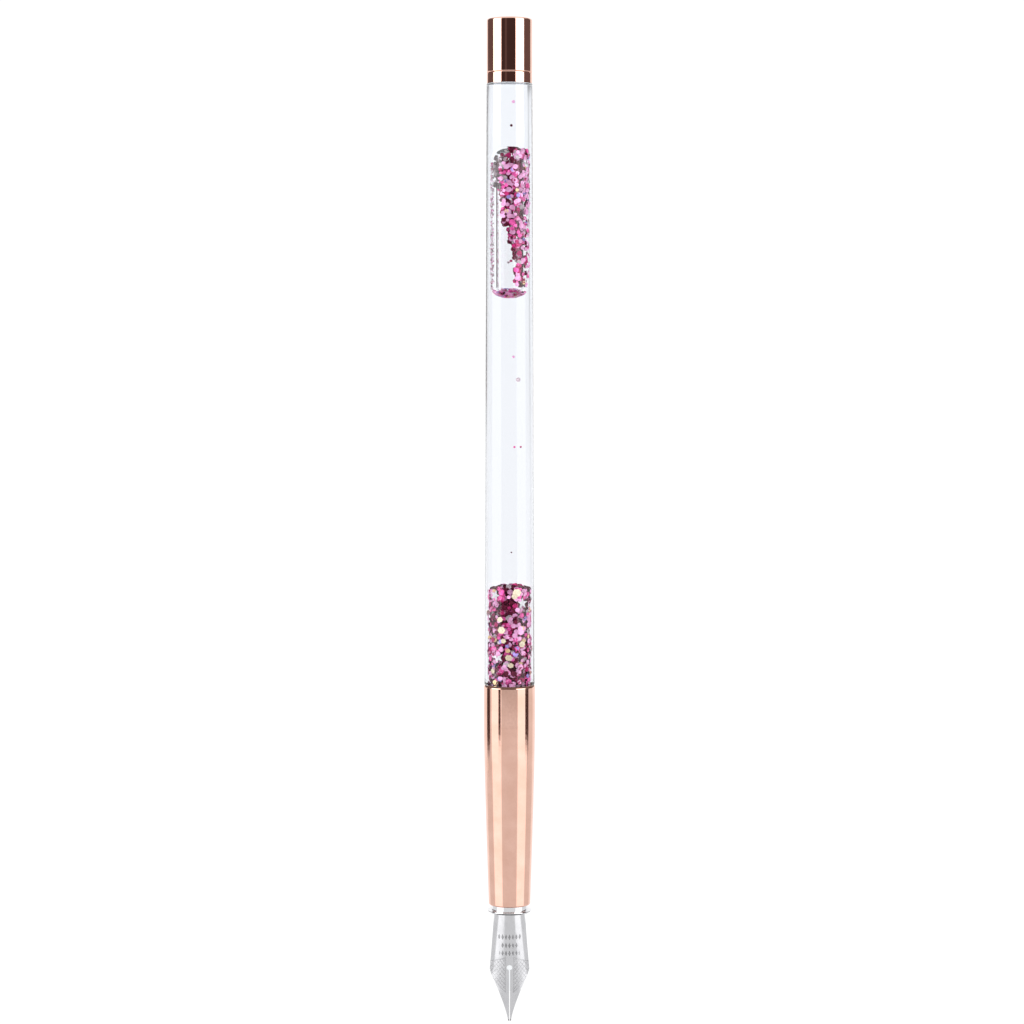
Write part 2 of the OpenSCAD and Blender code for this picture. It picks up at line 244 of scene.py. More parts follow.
def add_mesh(name, vertices, faces, material, smooth=True):
    mesh = bpy.data.meshes.new(name)
    mesh.from_pydata(vertices, [], faces)
    mesh.update()
    for polygon in mesh.polygons:
        polygon.use_smooth = smooth
    mesh.materials.append(material)
    piece = bpy.data.objects.new(name, mesh)
    bpy.context.scene.collection.objects.link(piece)
    return piece


def hold_edges(profile, reach=0.04 * MM, longest=0.5 * MM):
    """Adds a point near both ends of every long side, so that smooth shading stays close to the corners."""
    out = []
    for here, there in zip(profile, profile[1:] + profile[:1]):
        out.append(here)
        length = math.dist(here, there)
        if length > longest:
            for share in (reach / length, 1 - reach / length):
                out.append(tuple(a + (b - a) * share for a, b in zip(here, there)))
    return out


def lathe(name, outline, material, sides=160, crease_degrees=28):
    """Turns a closed outline of (radius, height) points about the pen's axis."""
    profile = hold_edges(outline)
    vertices = []
    faces = []
    count = len(profile)
    for side in range(sides):
        angle = TURN * side / sides
        vertices += [(r * math.cos(angle), r * math.sin(angle), z) for r, z in profile]
    for side in range(sides):
        here = side * count
        there = (side + 1) % sides * count
        for i in range(count):
            j = (i + 1) % count
            if profile[i][0] < 1e-7 and profile[j][0] < 1e-7:
                continue
            faces.append((here + i, there + i, there + j, here + j))
    piece = add_mesh(name, vertices, faces, material)
    work = bmesh.new()
    work.from_mesh(piece.data)
    bmesh.ops.remove_doubles(work, verts=work.verts, dist=1e-7)
    bmesh.ops.recalc_face_normals(work, faces=work.faces)
    work.to_mesh(piece.data)
    work.free()
    piece.data.set_sharp_from_angle(angle=math.radians(crease_degrees))
    return piece


def arc(centre, radius, start_degrees, end_degrees, steps, squash=1.0):
    out = []
    for i in range(steps + 1):
        angle = math.radians(start_degrees + (end_degrees - start_degrees) * i / steps)
        out.append((centre[0] + radius * math.cos(angle), centre[1] + radius * squash * math.sin(angle)))
    return out


def put(piece, body, slot, *replaced):
    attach(piece, body)
    if replaced:
        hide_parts(*replaced)
    return piece


# ---------------------------------------------------------------- finishes

rose_gold = metal("rose_gold_plate", (0.86, 0.52, 0.41), (0.94, 0.59, 0.48), 0.07)
rose_gold_cap = metal("rose_gold_cap", (0.86, 0.52, 0.41), (0.94, 0.59, 0.48), 0.05)
chrome = metal("bright_chrome", (0.80, 0.80, 0.82), (0.88, 0.88, 0.90), 0.06)
brass = metal("machined_brass", (0.70, 0.50, 0.22), (0.84, 0.64, 0.34), 0.28, 900, (1, 1, 9), 0.2)
tipping_metal = metal("ground_tipping", (0.20, 0.19, 0.20), (0.34, 0.33, 0.34), 0.35)
housing_plastic = plastic("housing_plastic", (0.02, 0.02, 0.022), (0.035, 0.035, 0.038), 0.45)
plug_plastic = plastic("plug_plastic", (0.74, 0.74, 0.75), (0.86, 0.86, 0.87), 0.35)
frosted = plastic("frosted_acrylic", (0.80, 0.80, 0.81), (0.90, 0.90, 0.91), 0.55)
seal_rubber = plastic("seal_rubber", (0.01, 0.01, 0.01), (0.03, 0.03, 0.03), 0.6, 0.3)
washer_rubber = plastic("washer_rubber", (0.10, 0.045, 0.03), (0.19, 0.09, 0.06), 0.5, 0.2)
barrel_acrylic = clear("barrel_acrylic", (0.905, 0.925, 0.965), (0.915, 0.945, 0.99), 1.49)
bubble_skin = clear("bubble_skin", (0.99, 0.99, 0.995), (0.99, 0.99, 0.995), 1.47, 0.0)
oil_clear = clear("oil_clear", (0.995, 0.995, 1.0), (0.995, 0.995, 1.0), 0.987, 0.0)
feed_plastic = clear("feed_clear_plastic", (0.90, 0.92, 0.94), (0.90, 0.92, 0.94), 1.45)


def engraved_steel():
    """Polished steel, engraved with a diamond lattice beside the slit and rows of lozenges above it."""
    shader = Shader("engraved_nib_steel")
    shader.set(Metallic=1.0)
    x = shader.math("ABSOLUTE", shader.axis(0))
    z = shader.axis(2)

    def above(value, limit):
        return shader.math("GREATER_THAN", value, limit)

    def below(value, limit):
        return shader.math("LESS_THAN", value, limit)

    def both(*masks):
        out = masks[0]
        for mask in masks[1:]:
            out = shader.math("MULTIPLY", out, mask)
        return out

    def either(*masks):
        out = masks[0]
        for mask in masks[1:]:
            out = shader.math("MAXIMUM", out, mask)
        return out

    def mix(value, slope, other):
        return shader.math("MULTIPLY_ADD", value, slope, other)

    def lines(value, pitch, width):
        return below(shader.math("PINGPONG", value, pitch / 2), width / 2)

    pitch = 0.78 * MM
    line = 0.12 * MM
    lattice = either(lines(mix(x, 1.25, z), pitch, line), lines(mix(x, -1.25, z), pitch, line))
    top_edge = mix(x, 0.35, z)
    foot_edge = mix(x, -1.1, z)
    panel = both(above(x, 0.75 * MM), below(top_edge, 11.2 * MM), above(foot_edge, 4.3 * MM))
    frame_line = both(above(x, 0.65 * MM), below(top_edge, 11.35 * MM), above(foot_edge, 4.15 * MM))
    frame_line = shader.math("SUBTRACT", frame_line, panel)
    lozenges = None
    for height, half_width in ((14.6 * MM, 1.9 * MM), (13.15 * MM, 1.5 * MM), (11.8 * MM, 1.7 * MM)):
        across = shader.math("PINGPONG", x, 0.29 * MM)
        up = shader.math("ABSOLUTE", shader.math("SUBTRACT", z, height))
        from_middle = mix(up, 0.4, across)
        row = both(below(from_middle, 0.2 * MM), above(from_middle, 0.03 * MM), below(x, half_width))
        lozenges = row if lozenges is None else either(lozenges, row)
    engraving = either(both(lattice, panel, 0.62), both(frame_line, 0.5), lozenges)
    cloudy = shader.spread(shader.noise(600, 3), 0.3, 0.7, 0.0, 0.2)
    shader.colour_by(shader.math("MULTIPLY_ADD", engraving, 0.6, cloudy),
                     [(0.0, (0.74, 0.74, 0.76)), (0.22, (0.66, 0.66, 0.68)), (1.0, (0.20, 0.20, 0.21))])
    brushed = shader.noise(2400, 3, (1, 1, 0.12))
    rough = shader.math("MULTIPLY_ADD", engraving, 0.25, shader.spread(brushed, 0.3, 0.7, 0.12, 0.2))
    shader.link(rough, shader.principled.inputs["Roughness"])
    relief = mix(brushed, 0.06, both(engraving, -1.0))
    shader.bump_by(relief, 0.35, 0.02 * MM)
    return shader.material


# maroon and shade are painted shade: maroon stands for the dark gaps between and beneath the flakes, and
# shade is the smoke film darkened
FILMS = {
    "light_pink": (0.97, 0.44, 0.72),
    "hot_pink": (0.88, 0.12, 0.42),
    "magenta": (0.46, 0.025, 0.14),
    "maroon": (0.13, 0.01, 0.035),
    "lavender": (0.42, 0.30, 0.72),
    "champagne": (1.0, 0.66, 0.36),
    "smoke": (0.52, 0.42, 0.46),
    "shade": (0.20, 0.16, 0.17),
}
film_finish = {name: flake_finish(f"film_{name}", colour) for name, colour in FILMS.items()}
white_film = flake_finish("film_white", (0.95, 0.95, 0.97), 0.03, 0.3, 0.35)
gold_film = flake_finish("film_gold", (1.0, 0.84, 0.60), 0.05, 0.5, 0.35)

# how often each film turns up among the outer, the inner and the wall flakes; the inner mix is mostly maroon,
# painted shade for the dark gaps deep in the heap
BRIGHT_MIX = {"light_pink": 54, "hot_pink": 18, "magenta": 10, "maroon": 5, "lavender": 4, "champagne": 4,
              "smoke": 5}
DEEP_SHADE_MIX = {"maroon": 66, "magenta": 19, "hot_pink": 8, "smoke": 5, "light_pink": 2}
EDGE_MIX = {"maroon": 4, "magenta": 3, "hot_pink": 2, "smoke": 2, "light_pink": 2}


# ---------------------------------------------------------------- metal pieces

def grip_outline():
    """The grip: a rounded front edge, a long taper, a straight part, and the stepped bore inside."""
    outer = arc((GRIP_FRONT_R - GRIP_ROUND, Z_GRIP + GRIP_ROUND), GRIP_ROUND, -90, 0, 8)
    for i in range(1, 33):
        t = i / 32
        radius = GRIP_R - (GRIP_R - GRIP_FRONT_R) * (1 - t) ** TAPER_POWER
        outer.append((radius, Z_GRIP + GRIP_ROUND + (GRIP_TAPER - GRIP_ROUND) * t))
    outer += [(GRIP_R, Z_RIM - EDGE), (GRIP_R - 0.3 * EDGE, Z_RIM - 0.3 * EDGE), (GRIP_R - EDGE, Z_RIM)]
    socket_r = SPIGOT_R + 0.06 * MM
    ledge_r = RING_BORE_R + 0.03 * MM
    housing_r = radius_of("nib_housing") + 0.01 * MM
    inner = [(socket_r, Z_RIM), (socket_r, low("thread_insert").z), (ledge_r, low("thread_insert").z),
             (ledge_r, high("nib_housing").z), (housing_r, high("nib_housing").z), (housing_r, Z_GRIP)]
    return outer + inner


def ring_outline():
    """A thin flange at the foot of a plain neck, bevelled below its lip and filleted above."""
    flange_top = Z_RING + 0.3 * MM
    fillet = 0.12 * MM
    neck_r = radius_of("nib_housing")
    top = high("trim_ring").z
    lip = [(RING_R - 0.12 * MM, Z_RING), (RING_R, Z_RING + 0.24 * MM), (RING_R - 0.03 * MM, flange_top)]
    fillet_arc = arc((neck_r + fillet, flange_top + fillet), fillet, 270, 180, 8)
    return [(RING_BORE_R, Z_RING)] + lip + fillet_arc + [(neck_r, top), (RING_BORE_R, top)]


def band_outline():
    """The plain band below the end cap, with an eased edge at either end."""
    inner = SPIGOT_R + 0.01 * MM
    return [(inner, Z_REAR), (CAP_R - 0.04 * MM, Z_REAR), (CAP_R, Z_REAR + 0.04 * MM), (CAP_R, Z_CAP - EDGE),
            (CAP_R - 0.3 * EDGE, Z_CAP - 0.3 * EDGE), (CAP_R - EDGE, Z_CAP), (inner, Z_CAP)]


def cap_outline():
    """The end cap: a thin cup with a rounded top, closed over the rear plug."""
    inner = SPIGOT_R + 0.01 * MM
    seat = high("rear_plug").z + 0.1 * MM
    hollow = CAP_R - CAP_WALL
    rounding = arc((CAP_R - CAP_ROUND, Z_TOP - CAP_ROUND), CAP_ROUND, 0, 90, 10)
    ceiling = Z_TOP - CAP_WALL
    eased = [(CAP_R - EDGE, Z_CAP), (CAP_R - 0.3 * EDGE, Z_CAP + 0.3 * EDGE), (CAP_R, Z_CAP + EDGE)]
    inside = [(0, ceiling), (hollow, ceiling), (hollow, seat), (inner, seat)]
    return [(inner, Z_CAP)] + eased + rounding + [(0, Z_TOP)] + inside


put(lathe("grip_shell", grip_outline(), rose_gold), "grip", "rose_gold", "grip_sleeve")
put(lathe("flange_ring", ring_outline(), chrome), "grip", "ring_chrome", "trim_ring")
put(lathe("cap_band", band_outline(), rose_gold_cap), "barrel", "rose_gold", "rear_band")
put(lathe("cap_shell", cap_outline(), rose_gold_cap), "barrel", "rose_gold", "rear_cap")

CAD_FINISHES = {
    "nib": engraved_steel(),
    "nib_tipping": tipping_metal,
    "feed": feed_plastic,
    "nib_housing": housing_plastic,
    "thread_insert": brass,
    "joint_washer": washer_rubber,
    "front_plug": brass,
    "rear_plug": plug_plastic,
    "front_seal": seal_rubber,
    "rear_seal": plug_plastic,
}
for node_name, finish in CAD_FINISHES.items():
    for material_slot in nodes[node_name].material_slots:
        material_slot.material = finish
    if not nodes[node_name].material_slots:
        nodes[node_name].data.materials.append(finish)


# ---------------------------------------------------------------- clear barrel and its filling

def barrel_outline():
    """The clear rod: its front spigot and its long taper, ending under the cap's band."""
    foot = Z_BARREL + APART
    head = Z_REAR - APART
    side = [(FRONT_R + (REAR_R - FRONT_R) * i / 24, foot + (head - foot) * i / 24) for i in range(25)]
    core_top = Z_CEILING + APART
    return ([(0, Z_SPIGOT_LOW), (SPIGOT_R, Z_SPIGOT_LOW), (SPIGOT_R, foot)] + side
            + [(BORE_R, head), (BORE_R, core_top), (0, core_top)])


def rear_spigot_outline():
    """The part of the barrel inside the cap, frosted where the cap is bonded to it."""
    inner_r = BORE_R + APART
    return [(inner_r, Z_REAR), (SPIGOT_R, Z_REAR), (SPIGOT_R, Z_SPIGOT_HIGH), (inner_r, Z_SPIGOT_HIGH)]


def bubble_outline():
    """The air bubble: straight sides and a rounded meniscus at each end."""
    squash = MENISCUS / BUBBLE_R
    foot = arc((0, BUBBLE_LOW + MENISCUS), BUBBLE_R, -90, 0, 16, squash)
    return foot + arc((0, BUBBLE_TOP - MENISCUS), BUBBLE_R, 0, 90, 16, squash)


def oil_outline():
    """The oil, a hair clear of the barrel's bore."""
    radius = BORE_R - 0.01 * MM
    return [(0, Z_FLOOR), (radius, Z_FLOOR), (radius, Z_CEILING), (0, Z_CEILING)]


put(lathe("barrel_clear", barrel_outline(), barrel_acrylic), "barrel", "barrel_clear", "barrel_tube")
put(lathe("barrel_rear_spigot", rear_spigot_outline(), frosted), "barrel", "barrel_clear", "barrel_tube")
put(lathe("oil_column", oil_outline(), oil_clear), "barrel", "oil", "oil_fill")
bubble = lathe("oil_around_bubble", bubble_outline(), bubble_skin)
bubble.data.flip_normals()
put(bubble, "air_bubble", "oil", "oil_fill")


# ---------------------------------------------------------------- glitter

class Flakes:
    """Collects thin flat flakes, so that each film colour becomes one mesh."""

    def __init__(self):
        self.vertices = []
        self.faces = []

    def add(self, outline, centre, normal, spin, thickness=0.03 * MM):
        turn = normal.to_track_quat("Z", "Y").to_matrix() @ Matrix.Rotation(spin, 3, "Z")
        start = len(self.vertices)
        count = len(outline)
        for level in (-0.5, 0.5):
            for x, y in outline:
                self.vertices.append(centre + turn @ Vector((x, y, level * thickness)))
        self.faces.append(tuple(start + i for i in reversed(range(count))))
        self.faces.append(tuple(start + count + i for i in range(count)))
        for i in range(count):
            j = (i + 1) % count
            self.faces.append((start + i, start + j, start + count + j, start + count + i))

    def build(self, name, finish):
        return add_mesh(name, self.vertices, self.faces, finish, smooth=False)


def disc(across, corners=6):
    radius = across / 2
    angles = [TURN * i / corners for i in range(corners)]
    return [(radius * math.cos(angle), radius * math.sin(angle)) for angle in angles]


def star(across):
    out = []
    for i in range(10):
        reach = across / 2 * (1.0 if i % 2 == 0 else 0.42)
        out.append((reach * math.sin(TURN * i / 10), reach * math.cos(TURN * i / 10)))
    return out


def from_front(degrees):
    """Unit vector away from the axis, at this bearing from the side the nib faces, positive towards +X."""
    angle = math.radians(degrees)
    return Vector((math.sin(angle), -math.cos(angle), 0))


def tilted(normal, tilt, rng):
    away = normal.orthogonal().normalized()
    away.rotate(Matrix.Rotation(rng.uniform(0, TURN), 3, normal))
    return (normal + away * math.tan(tilt)).normalized()


def pick(mix, rng):
    return rng.choices(list(mix), weights=list(mix.values()))[0]


def build_films(prefix, groups, body, node):
    for name, flakes in groups.items():
        if flakes.faces:
            put(flakes.build(f"{prefix}_{name}", film_finish[name]), body, "glitter_pink", node)


def lay_round(flakes, rng, bearing, height, across, tilt, outer_r, corners=6):
    """One flake laid round the axis, with every corner kept inside outer_r however it is tilted."""
    half = across / 2
    reach = outer_r - half * math.sin(tilt) - half * half / (2 * outer_r) - 0.02 * MM
    outward = from_front(bearing)
    centre = outward * reach + Vector((0, 0, height))
    flakes.add(disc(across, corners), centre, tilted(outward, tilt, rng), rng.uniform(0, TURN))


def scatter(prefix, rng, count, accept, heights, outer, body, node, mix, sizes, tilt_degrees):
    """Flakes strewn over a cylinder wherever accept() allows. outer is the range of the outer radius."""
    groups = {name: Flakes() for name in FILMS}
    for _ in range(count):
        bearing = rng.uniform(-180, 180)
        height = rng.uniform(*heights)
        if not accept(bearing, height, rng):
            continue
        across = rng.uniform(*sizes) * MM
        tilt = math.radians(rng.uniform(0, tilt_degrees))
        corners = 6 if rng.random() < 0.75 else 12
        lay_round(groups[pick(mix, rng)], rng, bearing, height, across, tilt, rng.uniform(*outer), corners)
    build_films(prefix, groups, body, node)


def bed_crest(bearing):
    return BED_TOP - 0.25 * MM - 0.45 * MM * (1 - math.cos(math.radians(2 * bearing + 10)))


def in_bed(bearing, height, rng):
    return height < bed_crest(bearing)


def on_bed(bearing, height, rng):
    """The outer flakes leave a dark window below the heap's crest, on the nib's side, where the maroon inner
    flakes show through as painted shade.
    """
    window = -24 < bearing < 14 and height > Z_BARREL + 12.4 * MM
    return height < bed_crest(bearing) and not (window and rng.random() < 0.85)


def core_outline():
    radius = BORE_R - 0.8 * MM
    crown = BED_TOP - 1.0 * MM
    foot = Z_FLOOR + 0.05 * MM
    top = [(radius, crown - 0.5 * MM), (0.8 * radius, crown), (0, crown + 0.2 * MM)]
    return [(0, foot), (radius, foot)] + top


def packed_glitter_shade():
    """The inside of the settled heap, where flakes lie too close to tell apart. Its near-black colours are
    painted shade.
    """
    shader = Shader("packed_glitter_shade")
    shader.set(Metallic=0.8)
    cells = shader.nodes.new("ShaderNodeTexVoronoi")
    cells.inputs["Scale"].default_value = 1500
    shader.link(shader.place, cells.inputs["Vector"])
    tone = shader.math("FRACT", shader.math("MULTIPLY", cells.outputs["Color"], 7.3))
    # near-black to dark pink: painted shade inside the heap
    shader.colour_by(tone, [(0.0, (0.03, 0.003, 0.01)), (0.6, (0.12, 0.01, 0.04)), (1.0, (0.5, 0.06, 0.2))])
    shader.roughness_by(tone, 0.25, 0.45)
    shader.bump_by(tone, 0.6, 0.05 * MM)
    return shader.material


put(lathe("bed_core", core_outline(), packed_glitter_shade()), "settled_glitter", "glitter_pink", "glitter_bed")
dice = random.Random(11)
BED_HEIGHTS = (Z_FLOOR + 0.45 * MM, BED_TOP)
scatter("bed_deep", dice, 1100, in_bed, BED_HEIGHTS, (BED_SKIN_R - 0.55 * MM, BED_SKIN_R - 0.25 * MM),
        "settled_glitter", "glitter_bed", DEEP_SHADE_MIX, (0.6, 0.95), 40)
scatter("bed_edge", dice, 420, in_bed, BED_HEIGHTS, (BED_SKIN_R - 0.26 * MM, BED_SKIN_R - 0.14 * MM),
        "settled_glitter", "glitter_bed", EDGE_MIX, (0.6, 0.95), 30)
scatter("bed_skin", dice, 520, on_bed, BED_HEIGHTS, (BED_SKIN_R - 0.12 * MM, BED_SKIN_R),
        "settled_glitter", "glitter_bed", BRIGHT_MIX, (0.6, 0.98), 24)


def top_of_bed():
    """Flakes that lie across the top of the heap."""
    groups = {name: Flakes() for name in FILMS}
    for _ in range(110):
        radius = math.sqrt(dice.random()) * (BORE_R - 0.65 * MM)
        place = from_front(dice.uniform(-180, 180)) * radius
        place.z = BED_TOP - 0.8 * MM + dice.uniform(-0.15, 0.3) * MM
        normal = tilted(Vector((0, 0, 1)), math.radians(dice.uniform(0, 50)), dice)
        flakes = groups[pick(DEEP_SHADE_MIX, dice)]
        flakes.add(disc(dice.uniform(0.6, 0.95) * MM), place, normal, dice.uniform(0, TURN))
    build_films("bed_top", groups, "settled_glitter", "glitter_bed")


top_of_bed()

# bearing from the front, height above the barrel's shoulder, width
STARS = [(-43, 4.8, 2.1), (47, 13.9, 1.9), (-54, 15.2, 1.9), (160, 9, 1.9), (200, 13.4, 1.9)]
GOLDS = [(25, 15.7, 1.4), (17, 15.1, 1.0), (-27, 9.4, 1.25), (-3, 4.8, 1.1), (4, 3.5, 0.9), (-32, 11.2, 0.95),
         (-62, 2.4, 0.9), (44, 7, 1.1), (-20, 7.6, 0.85), (120, 6, 1.0), (230, 12, 1.0)]


def accents(name, places, outline, finish, slot, node):
    flakes = Flakes()
    for bearing, height, across in places:
        outward = from_front(bearing)
        half = across * MM / 2
        reach = math.sqrt((BORE_R - 0.04 * MM) ** 2 - half ** 2) - 0.03 * MM
        centre = outward * reach + Vector((0, 0, Z_BARREL + height * MM))
        flakes.add(outline(across * MM), centre, outward, dice.uniform(-0.3, 0.3), 0.04 * MM)
    put(flakes.build(name, finish), "settled_glitter", slot, node)


accents("stars", STARS, star, white_film, "glitter_white", "star_charms")
accents("gold_pieces", GOLDS, disc, gold_film, "glitter_gold", "gold_flakes")


def down_bubble(height):
    return (BUBBLE_TOP - height) / (BUBBLE_TOP - BUBBLE_LOW)


def on_bubble(bearing, height, rng):
    """Thick at the bubble's top, then only down its +X side, and gone before its foot."""
    down = down_bubble(height)
    if down < 0.05:
        return 20 < bearing < 110
    if down < 0.29:
        return -34 - 60 * (down - 0.05) < bearing < 125
    if down < 0.52:
        return -35 + 45 * (down - 0.29) < bearing < 125 - 40 * (down - 0.29)
    if down < 0.64:
        return -6 + 60 * (down - 0.52) < bearing < 110
    if down < 0.93:
        return 12 + 50 * (down - 0.64) < bearing < 105 and rng.random() < 0.85
    return False


def left_veil(bearing, height, rng):
    return -66 < bearing < -26 and 0.07 < down_bubble(height) < 0.27


def on_left_rim(bearing, height, rng):
    return -104 < bearing < -76 and 0.1 < down_bubble(height) < 0.95


def small_group(bearing, height, rng):
    return -8 < bearing < 6 and 0.73 < down_bubble(height) < 0.87


BUBBLE_HEIGHTS = (BUBBLE_LOW + 0.6 * MM, BUBBLE_TOP - 0.5 * MM)
scatter("bubble_deep", dice, 3200, on_bubble, BUBBLE_HEIGHTS, (BUBBLE_R - 0.02 * MM, BUBBLE_R + 0.04 * MM),
        "air_bubble", "bubble_glitter", DEEP_SHADE_MIX, (0.6, 0.95), 10)
# the veil's flakes are mostly the shade film, the smoke film darkened as painted shade
scatter("bubble_veil", dice, 2600, left_veil, BUBBLE_HEIGHTS, (BUBBLE_R + 0.09 * MM, BUBBLE_SKIN_R),
        "air_bubble", "bubble_glitter", {"shade": 8, "maroon": 1, "smoke": 2}, (0.5, 0.75), 3)
scatter("bubble_skin", dice, 820, on_bubble, BUBBLE_HEIGHTS, (BUBBLE_SKIN_R, BORE_R - 0.3 * MM),
        "air_bubble", "bubble_glitter", BRIGHT_MIX, (0.55, 0.92), 16)
scatter("bubble_rim", dice, 5200, on_left_rim, BUBBLE_HEIGHTS, (BUBBLE_R, BUBBLE_SKIN_R),
        "air_bubble", "bubble_glitter", {"light_pink": 2, "smoke": 4, "magenta": 1}, (0.15, 0.3), 20)
scatter("bubble_few", dice, 400, small_group, BUBBLE_HEIGHTS, (BUBBLE_R, BUBBLE_SKIN_R),
        "air_bubble", "bubble_glitter", {"magenta": 3, "hot_pink": 3, "smoke": 3}, (0.35, 0.7), 20)


def crust(prefix, count, end_z, inward, mix, bearings=(-180, 180)):
    """A crust of flakes on one rounded end of the bubble. inward is +1 at its foot and -1 at its top."""
    groups = {name: Flakes() for name in FILMS}
    for _ in range(count):
        share = math.sqrt(dice.random())
        radius = share * (BUBBLE_R - 0.1 * MM)
        place = from_front(dice.uniform(*bearings)) * radius
        place.z = end_z + inward * (MENISCUS * (1 - math.sqrt(1 - share * share * 0.92)) - 0.1 * MM)
        normal = (Vector((0, 0, MENISCUS)) - inward * Vector((place.x, place.y, 0)) * share).normalized()
        normal = tilted(normal, math.radians(dice.uniform(0, 20)), dice)
        flakes = groups[pick(mix, dice)]
        flakes.add(disc(dice.uniform(0.45, 0.8) * MM), place, normal, dice.uniform(0, TURN))
    build_films(prefix, groups, "air_bubble", "bubble_glitter")


crust("bubble_foot", 190, BUBBLE_LOW, 1, BRIGHT_MIX)
crust("bubble_top", 130, BUBBLE_TOP, -1, DEEP_SHADE_MIX, (5, 140))

# bearing from the front, height above the barrel's shoulder, width, film
LOOSE = [(13, 97.2, 0.5, "light_pink"), (6, 93.3, 0.42, "maroon"), (13, 55.1, 0.42, "light_pink"),
         (29, 51.3, 0.75, "smoke"), (16, 40.1, 0.35, "hot_pink"), (38, 40.1, 0.35, "magenta"),
         (6, 22.5, 0.25, "maroon")]


def loose_bits():
    groups = {name: Flakes() for name in FILMS}
    for bearing, height, across, film in LOOSE:
        level = Z_BARREL + height * MM
        lay_round(groups[film], dice, bearing, level, across * MM, 0.0, BORE_R - 0.02 * MM, 12)
    build_films("loose", groups, "barrel", "loose_flakes")


loose_bits()


# ---------------------------------------------------------------- studio

TABLE_RADIUS = 0.4
TABLE_Z = -0.03
# the camera, the point it looks at, and the width that the picture shows there
EYE = Vector((0.00042, -0.447, 0.11437))
TARGET = Vector((0.00042, 0, 0.08637))
SHOWN_ACROSS = 0.172


def studio_world():
    """A light tent: two tall softboxes, dark gaps between them, a white wall behind."""
    world = bpy.data.worlds.new("studio")
    bpy.context.scene.world = world
    world.use_nodes = True
    tree = world.node_tree
    background = tree.nodes["Background"]
    separate = tree.nodes.new("ShaderNodeSeparateXYZ")
    tree.links.new(tree.nodes.new("ShaderNodeTexCoord").outputs["Generated"], separate.inputs[0])

    def calc(kind, a, b=0.0, c=0.0):
        node = tree.nodes.new("ShaderNodeMath")
        node.operation = kind
        for socket, value in zip(node.inputs, (a, b, c)):
            if isinstance(value, (int, float)):
                socket.default_value = value
            else:
                tree.links.new(value, socket)
        return node.outputs[0]

    def step(value, start, end):
        node = tree.nodes.new("ShaderNodeMapRange")
        node.interpolation_type = "SMOOTHSTEP"
        node.inputs["From Min"].default_value = start
        node.inputs["From Max"].default_value = end
        tree.links.new(value, node.inputs["Value"])
        return node.outputs["Result"]

    def band(value, start, end, soft=1.5):
        return calc("MULTIPLY", step(value, start - soft, start + soft), step(value, end + soft, end - soft))

    def blend(below, above, share):
        """below where share is 0, above where it is 1"""
        return calc("MULTIPLY_ADD", share, calc("SUBTRACT", above, below), below)

    def both(a, b):
        return calc("MULTIPLY", a, b)

    def either(a, b):
        return calc("MAXIMUM", a, b)

    # where a ray looks: its angle above level, and its bearing from the nib's side, positive towards +X
    x, y, z = separate.outputs
    climb = both(calc("ARCSINE", z), 180 / math.pi)
    bearing = both(calc("ARCTAN2", x, both(y, -1.0)), 180 / math.pi)
    # the softboxes lean: the whole pattern turns a little with height
    bearing = calc("MULTIPLY_ADD", step(climb, -9, 7), 5.5, bearing)
    either_side = calc("ABSOLUTE", bearing)
    cap_level = step(climb, 4.8, 5.4)
    barrel_level = step(climb, 5.4, 4.8)
    grip_level = both(step(climb, -5.4, -6.2), step(climb, -10.4, -9.6))

    softbox_end = blend(88.5, 83.5, cap_level)
    before_end = calc("SUBTRACT", softbox_end, either_side)
    softboxes = both(step(either_side, 35.5, 38.5), step(before_end, -1.5, 1.5))
    softbox_light = blend(1.42, 1.75, step(climb, -6.6, -5.5))
    softbox_light = blend(softbox_light, 3.2, step(climb, 4.4, 5.2))

    # dark flags, which draw the edges of the barrel and the streaks in the metal
    cap_flags = both(band(either_side, 83.5, 137), cap_level)
    edge_flags = both(either(band(bearing, 86, 127), band(bearing, -112, -88)), barrel_level)
    edge_light = blend(0.12, 0.05, step(bearing, -10, 10))
    bore_flags = both(band(either_side, 131, 136, 1), barrel_level)
    grip_flags = either(band(bearing, -121, -98), either(band(bearing, 75, 95), band(bearing, -51, -40)))

    # the dark room in front, with a faint streak in it at the height of the cap
    front_light = blend(0.8, 0.055, step(climb, -8.2, -5.6))
    streak = both(band(bearing, -17, -8, 3), step(climb, 0, 5))
    front_light = calc("MULTIPLY_ADD", streak, 0.06, front_light)

    light = blend(1.07, softbox_light, softboxes)
    light = blend(light, blend(0.82, edge_light, step(climb, -3.0, -0.8)), edge_flags)
    light = blend(light, blend(1.0, 0.85, step(climb, -2.5, 0.0)), bore_flags)
    light = blend(light, 0.14, cap_flags)
    light = blend(light, front_light, band(bearing, -37, 37))
    light = blend(light, 0.07, both(grip_flags, grip_level))
    light = blend(light, 1.0, step(climb, 32, 40))
    tree.links.new(light, background.inputs["Strength"])
    tint = tree.nodes.new("ShaderNodeValToRGB")
    tint.color_ramp.elements[0].color = (1.0, 0.58, 0.56, 1)
    tint.color_ramp.elements[1].position = 0.4
    tree.links.new(light, tint.inputs["Fac"])
    tree.links.new(tint.outputs["Color"], background.inputs["Color"])


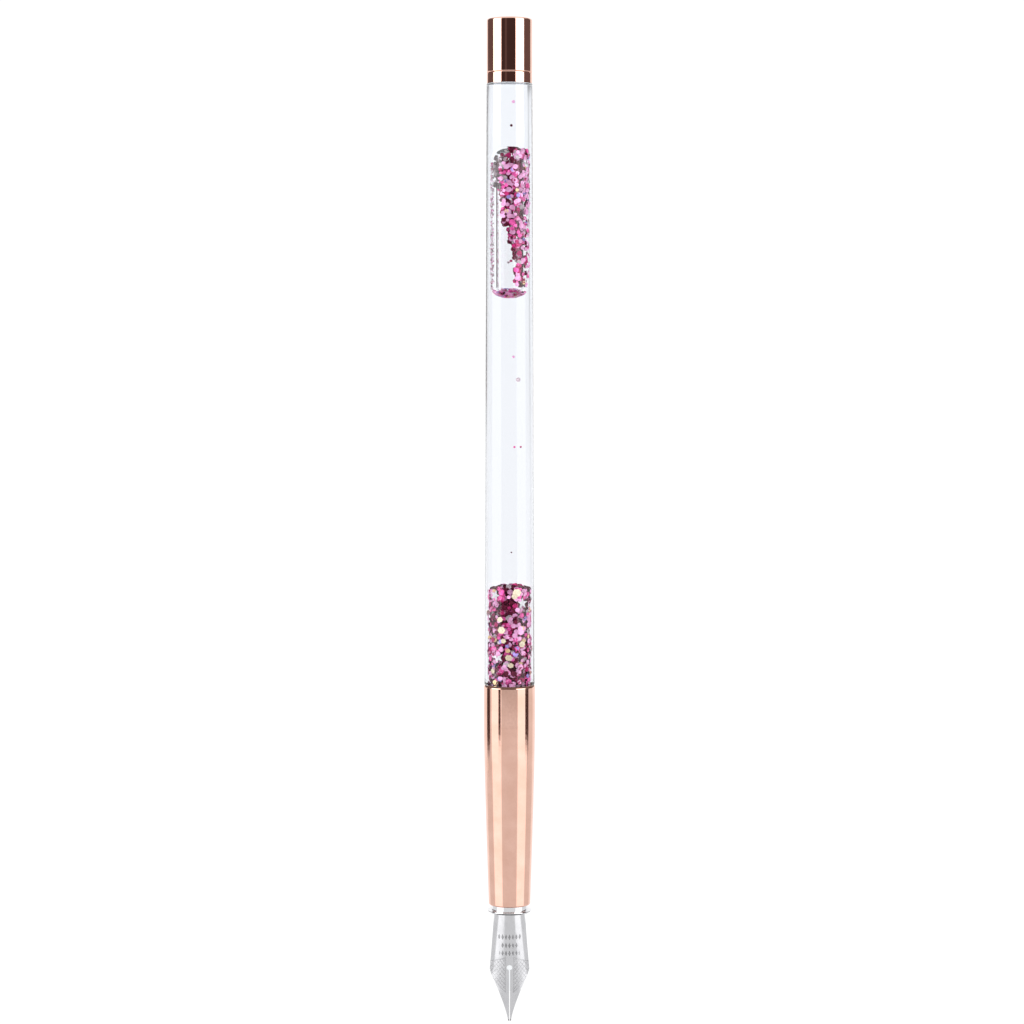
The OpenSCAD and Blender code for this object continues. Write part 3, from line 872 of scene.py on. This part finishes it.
def studio_floor():
    """A pale round table that glows by itself, with painted light: bright sectors where the softboxes and the
    wall would light it, and painted shadow round the nib.
    """
    shader = Shader("table_painted_light")
    x = shader.axis(0)
    y = shader.axis(1)
    bearing = shader.math("ABSOLUTE", shader.math("ARCTAN2", x, shader.math("MULTIPLY", y, -1.0)))
    distance = shader.math("SQRT", shader.math("MULTIPLY_ADD", x, x, shader.math("MULTIPLY", y, y)))
    near = shader.spread(distance, 0.13, 0.15, 1.0, 0.0)
    right = shader.math("GREATER_THAN", x, 0.0)
    near_right = shader.math("MULTIPLY", near, right)
    near_left = shader.math("SUBTRACT", near, near_right)

    def ramp_up(value, start, end):
        return shader.spread(value, math.radians(start), math.radians(end), 0.0, 1.0)

    # painted pools of light from the softboxes: close to the pen the lit sectors start nearer the front on
    # its left and end further back on its right
    inner = shader.math("MULTIPLY_ADD", near_left, math.radians(7), bearing)
    inner = shader.math("MULTIPLY_ADD", near_right, math.radians(-5), inner)
    outer = shader.math("MULTIPLY_ADD", near_right, math.radians(-36), bearing)
    lit = shader.math("MULTIPLY", ramp_up(inner, 36, 40), ramp_up(outer, 88, 84))
    lit = shader.math("MULTIPLY", lit, shader.spread(distance, 0.11, 0.142, 0.05, 1.0))
    painted_glow = shader.math("MULTIPLY_ADD", lit, 0.57, 0.8)
    # painted light from the wall behind the pen
    painted_glow = shader.math("MAXIMUM", painted_glow, shader.math("MULTIPLY", ramp_up(bearing, 120, 132), 1.07))
    # painted shadow: a darker disc round the nib
    painted_glow = shader.math("MULTIPLY", painted_glow, shader.spread(distance, 0.038, 0.052, 0.2, 1.0))
    emission = shader.nodes.new("ShaderNodeEmission")
    shader.link(painted_glow, emission.inputs["Strength"])
    shader.link(emission.outputs[0], shader.output.inputs["Surface"])
    rim = [(x, y, TABLE_Z) for x, y in disc(2 * TABLE_RADIUS, 96)]
    add_mesh("table", rim, [tuple(range(96))], shader.material)


def camera():
    data = bpy.data.cameras.new("camera")
    data.sensor_width = 36
    data.lens = data.sensor_width * (EYE - TARGET).length / SHOWN_ACROSS
    data.clip_start = 0.01
    seen_by = bpy.data.objects.new("camera", data)
    seen_by.location = EYE
    seen_by.rotation_euler = (TARGET - EYE).to_track_quat("-Z", "Y").to_euler()
    bpy.context.scene.collection.objects.link(seen_by)
    bpy.context.scene.camera = seen_by


studio_world()
studio_floor()
camera()
bpy.context.scene.view_settings.view_transform = "Standard"
bpy.context.scene.cycles.max_bounces = 24
bpy.context.scene.cycles.transmission_bounces = 20
bpy.context.scene.cycles.transparent_max_bounces = 24
